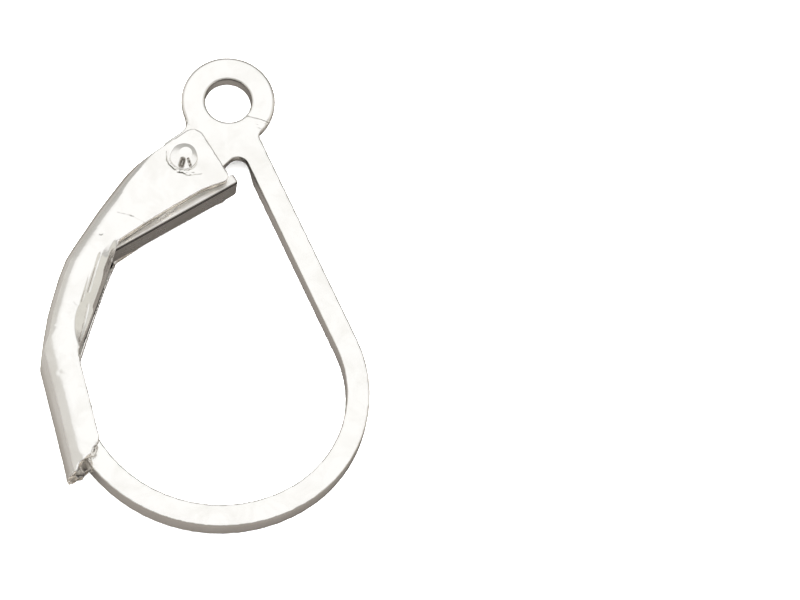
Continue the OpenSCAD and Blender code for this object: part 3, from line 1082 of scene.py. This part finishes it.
@dataclass(kw_only=True)
class LeverPiece(SoftPiece):
    """The folded lever, whose crimp runs out through the upper corner of its lips.

    Attributes:
        lip: Upper end of the lips, in the flat plane.
        lip_deg: Direction in which the lips run.
        width: Width of the crimp's slope.
        narrow: Share of that width at the slope's ends.
        slope_deg: Slope of the crimp.
        top: Height of the cheeks' skin, from the middle of the wire.
        lip_w: Width of the steeper strip along the lip.
        lip_fall: How much steeper that strip is.
        begin: Places along the lips where the slope begins and where it is full.
        finish: Places along the lips where it ends and where it is still full.
        toe: A corner of the catch's cut end, in the flat plane.
        toe_deg: Direction that the cut end faces.
        toe_run: Length over which the cut end is uneven.
        toe_depth: How uneven it is.
        tears: Waves along the cut end: length, turn across the sheet, start and strength.
        swell: Waves across the sheet at the cut end: length, start and strength.
    """

    node: str = "lever"
    name: str = "folded_lever"
    body: Body = Body.LEVER
    grooves: tuple[Groove, ...] = CHEEK_MARKS
    ripple: Ripple | None = Ripple(0.006, 1.7, 3)
    cell: float = 0.037
    rounds: int = 3
    lip: Pair = (-3.364, -5.088)
    lip_deg: float = 252.64
    width: float = 0.47
    narrow: float = 0.25
    slope_deg: float = 33.0
    top: float = 1.0
    lip_w: float = 0.15
    lip_fall: float = 0.8
    begin: Pair = (-0.1, 0.6)
    finish: Pair = (3.1, 2.2)
    toe: Pair = (-4.72, -12.752)
    toe_deg: float = -42.8
    toe_run: float = 0.55
    toe_depth: float = 0.055
    tears: tuple[tuple[float, ...], ...] = ((0.62, 2.3, 0.0, 1.0), (0.31, -4.1, 1.0, 0.6))
    swell: Triple = (0.45, 0.8, 0.7)

    def form(self, flat: np.ndarray) -> np.ndarray:
        """Cuts the skin down to the crimp's slope where the pressed one runs out.

        Args:
            flat: Points in the flat frame.

        Returns:
            Where they lie once formed.
        """
        turn = math.radians(self.lip_deg)
        run = np.array((math.cos(turn), math.sin(turn)))
        inward = np.array((run[1], -run[0]))
        arm = flat[:, :2] - np.array(self.lip)
        along, across = arm @ run, arm @ inward
        rise = np.prod(
            [np.clip((along - a) / (b - a), 0, 1) for a, b in (self.begin, self.finish)], axis=0
        )
        wide = self.width * (self.narrow + (1 - self.narrow) * rise)
        drop = np.clip(wide - across, 0, self.width) * math.tan(math.radians(self.slope_deg))
        steep = np.clip(self.lip_w - across, 0, self.lip_w) * self.lip_fall
        limit = self.top - np.sqrt(rise) * (drop + steep)
        out = flat.copy()
        out[:, 2] = np.clip(flat[:, 2], -limit, limit)
        return self.crumple(out)

    def crumple(self, flat: np.ndarray) -> np.ndarray:
        """Makes the catch's cut end uneven, as shears leave it.

        Args:
            flat: Points in the flat frame.

        Returns:
            Where they lie once crumpled.
        """
        turn = math.radians(self.toe_deg)
        facing = np.array((math.cos(turn), math.sin(turn)))
        edge = np.array((-facing[1], facing[0]))
        arm = flat[:, :2] - np.array(self.toe)
        near = np.clip(1 + arm @ facing / self.toe_run, 0, 1) ** 2 * self.toe_depth
        place = arm @ edge * 2 * math.pi
        wave = sum(
            strong * np.sin(place / length + flat[:, 2] * across + begin)
            for length, across, begin, strong in self.tears
        )
        length, begin, strong = self.swell
        out = flat.copy()
        out[:, :2] -= (near * (1 + wave) / 2)[:, None] * facing
        out[:, 2] -= near * np.sin(place / length + begin) * strong * np.sign(flat[:, 2])
        return out


# ---- the setting ----


@dataclass(frozen=True)
class Viewpoint:
    """The camera, set by the photograph's scale and angle.

    Attributes:
        picture: Width and height of the picture.
        scale: Picture points per millimetre at the middle of the picture.
        away: Distance of the camera, in millimetres.
        rise: Height of the view over the ground, in degrees.
        ring_at: Where the middle of the ring's upper face is in the picture.
        ring_height: Height over the ground at which that is set, in millimetres.
        ring_top: The same point in the flat plane.
        film: Width of the film.
        nearest: Nearest distance that the camera sees, in millimetres.
    """

    picture: tuple[int, int] = (800, 600)
    scale: float = 32.3
    away: float = 200.0
    rise: float = 66.3
    ring_at: Pair = (228.4, 99.7)
    ring_height: float = 1.2
    ring_top: Triple = (0.0, 0.0, 0.4)
    film: float = 36.0
    nearest: float = 1.0

    def build(self, plane: FlatPlane) -> None:
        """Makes the camera and makes it the scene's own.

        Args:
            plane: The flat wire's plane.
        """
        rise = math.radians(self.rise)
        ahead = Vector((0, math.cos(rise), -math.sin(rise)))
        up = Vector((0, math.sin(rise), math.cos(rise)))
        lens = self.scale * self.away
        right = (self.ring_at[0] - self.picture[0] / 2) / lens
        down = (self.ring_at[1] - self.picture[1] / 2) / lens
        ray = ahead + Vector((right, 0, 0)) - up * down
        reach = (self.ring_height + self.away * ahead.z) / ray.z
        ring = Vector(plane.to_row(np.array([self.ring_top]))[0])
        data = bpy.data.cameras.new("camera")
        data.sensor_width = self.film
        data.lens = self.film * lens / self.picture[0]
        data.clip_start = self.nearest * MM
        camera = bpy.data.objects.new("camera", data)
        camera.location = ring - ray * reach * MM
        camera.rotation_euler = (math.pi / 2 - rise, 0, 0)
        bpy.context.scene.collection.objects.link(camera)
        bpy.context.scene.camera = camera


@dataclass(frozen=True)
class Studio:
    """A pale ground under a soft light from all round, brightest overhead.

    Attributes:
        ground: Half width of the ground, in metres.
        pale: Colour of the ground.
        mirrored: Colour that the ground has where the metal mirrors it.
        lighter: The same colour on the left, where more light falls.
        left: Places across the ground, in metres, where the lighter colour begins and is full.
        sky: Heights, from 0 straight down to 1 straight up, each with the light's colour there.
        glows: Light low on the left and on the right: where it begins and is full, and its colour.
        fill: Strength of the light that evens the ground.
        fill_size: Width of that light, in metres.
        fill_at: Its place, in metres.
    """

    ground: float = 0.5
    pale: Triple = (0.96, 0.96, 0.96)
    mirrored: Triple = (0.063, 0.0574, 0.0523)
    lighter: Triple = (0.097, 0.0925, 0.0865)
    left: Pair = (-0.0052, -0.0085)
    sky: tuple[tuple[float, float, float, float], ...] = (
        (0.0, 0.2, 0.19, 0.175),
        (0.5, 0.28, 0.27, 0.255),
        (0.6, 0.42, 0.412, 0.39),
        (0.7, 0.5, 0.495, 0.475),
        (0.765, 0.58, 0.57, 0.55),
        (0.805, 0.97, 0.965, 0.95),
        (0.9, 1.06, 1.06, 1.05),
    )
    glows: tuple[tuple[float, float, Triple], ...] = (
        (-0.45, -0.85, (0.72, 0.705, 0.67)),
        (0.76, 0.9, (0.735, 0.72, 0.665)),
    )
    fill: float = 24.0
    fill_size: float = 0.6
    fill_at: Triple = (0.0, -0.1, 0.6)

    def build(self) -> None:
        """Makes the ground, the light round it and the fill."""
        self.lay_ground()
        self.light_round()
        self.hang_fill()

    def lay_ground(self) -> None:
        """Lays the pale ground, which is darker and warmer where the metal mirrors it."""
        w = self.ground
        mesh = bpy.data.meshes.new("ground")
        mesh.from_pydata([(-w, -w, 0), (w, -w, 0), (w, w, 0), (-w, w, 0)], [], [(0, 1, 2, 3)])
        ground = bpy.data.objects.new("ground", mesh)
        bpy.context.scene.collection.objects.link(ground)
        material = bpy.data.materials.new("pale ground")
        material.use_nodes = True
        wiring = Wiring(material.node_tree)
        pale = material.node_tree.nodes["Principled BSDF"]
        wiring.feed(pale.inputs["Base Color"], self.pale)
        wiring.feed(pale.inputs["Roughness"], 1.0)
        wiring.feed(pale.inputs["Specular IOR Level"], 0.0)
        place = wiring.node("TexCoord").outputs["Object"]
        across = wiring.node("SeparateXYZ", {"Vector": place}).outputs["X"]
        tone = wiring.mixed(wiring.ranged(across, *self.left), self.mirrored, self.lighter)
        dark = wiring.node("BsdfDiffuse", {"Color": tone})
        seen = wiring.node("LightPath").outputs["Is Glossy Ray"]
        shaders = {"Fac": seen, 1: pale.outputs["BSDF"], 2: dark.outputs["BSDF"]}
        either = wiring.node("MixShader", shaders).outputs["Shader"]
        wiring.feed(material.node_tree.nodes["Material Output"].inputs["Surface"], either)
        mesh.materials.append(material)

    def light_round(self) -> None:
        """Sets the soft light that comes from all round."""
        world = bpy.data.worlds.new("soft light")
        bpy.context.scene.world = world
        world.use_nodes = True
        wiring = Wiring(world.node_tree)
        way = wiring.node("TexCoord").outputs["Generated"]
        split = wiring.node("SeparateXYZ", {"Vector": way})
        light = wiring.ramp(wiring.ranged(split.outputs["Z"], -1.0, 1.0), self.sky)
        for begin, full, colour in self.glows:
            share = wiring.ranged(split.outputs["X"], begin, full)
            light = wiring.mixed(share, light, colour, Blend.BRIGHTER)
        wiring.feed(world.node_tree.nodes["Background"].inputs["Color"], light)

    def hang_fill(self) -> None:
        """Hangs a wide light that the metal doesn't mirror."""
        data = bpy.data.lights.new("fill", "AREA")
        data.size = self.fill_size
        data.energy = self.fill
        fill = bpy.data.objects.new("fill", data)
        fill.location = self.fill_at
        fill.visible_glossy = False
        bpy.context.scene.collection.objects.link(fill)


# ---- all of it ----


def pieces(plane: FlatPlane) -> list[MetalPiece]:
    """Lists the pieces of the finding, each with its metal.

    Args:
        plane: The flat wire's plane.

    Returns:
        The pieces, still to be built.
    """
    spots = tuple((plane.place(at), radius) for at, radius in PIT_SHADE)
    polished = CreasedFinish("polished silver", middle=plane.place(CREASES_AT))
    worked = EdgedFinish("worked silver", way=plane.direction(SPRING_DEG))
    headed = PitShadeFinish("headed silver", spots=spots)
    sprung = BladeFinish("sprung silver", up=plane.up(), middle=plane.middle())
    tree = soften_tree()
    return [
        FramePiece(metal=polished.build(), tree=tree),
        RivetPiece(metal=headed.build(), tree=tree),
        LeverPiece(metal=worked.build(), tree=tree),
        SpringPiece(metal=sprung.build()),
    ]


def main() -> None:
    """Builds the finding and its setting."""
    logging.basicConfig(level=logging.INFO, format="%(message)s")
    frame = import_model()
    plane = FlatPlane(frame["joints"][0])
    Viewpoint().build(plane)
    for piece in pieces(plane):
        piece.build(frame["nodes"], plane)
    Studio().build()
    bpy.context.scene.view_settings.view_transform = "Standard"


if __name__ == "__main__":
    main()
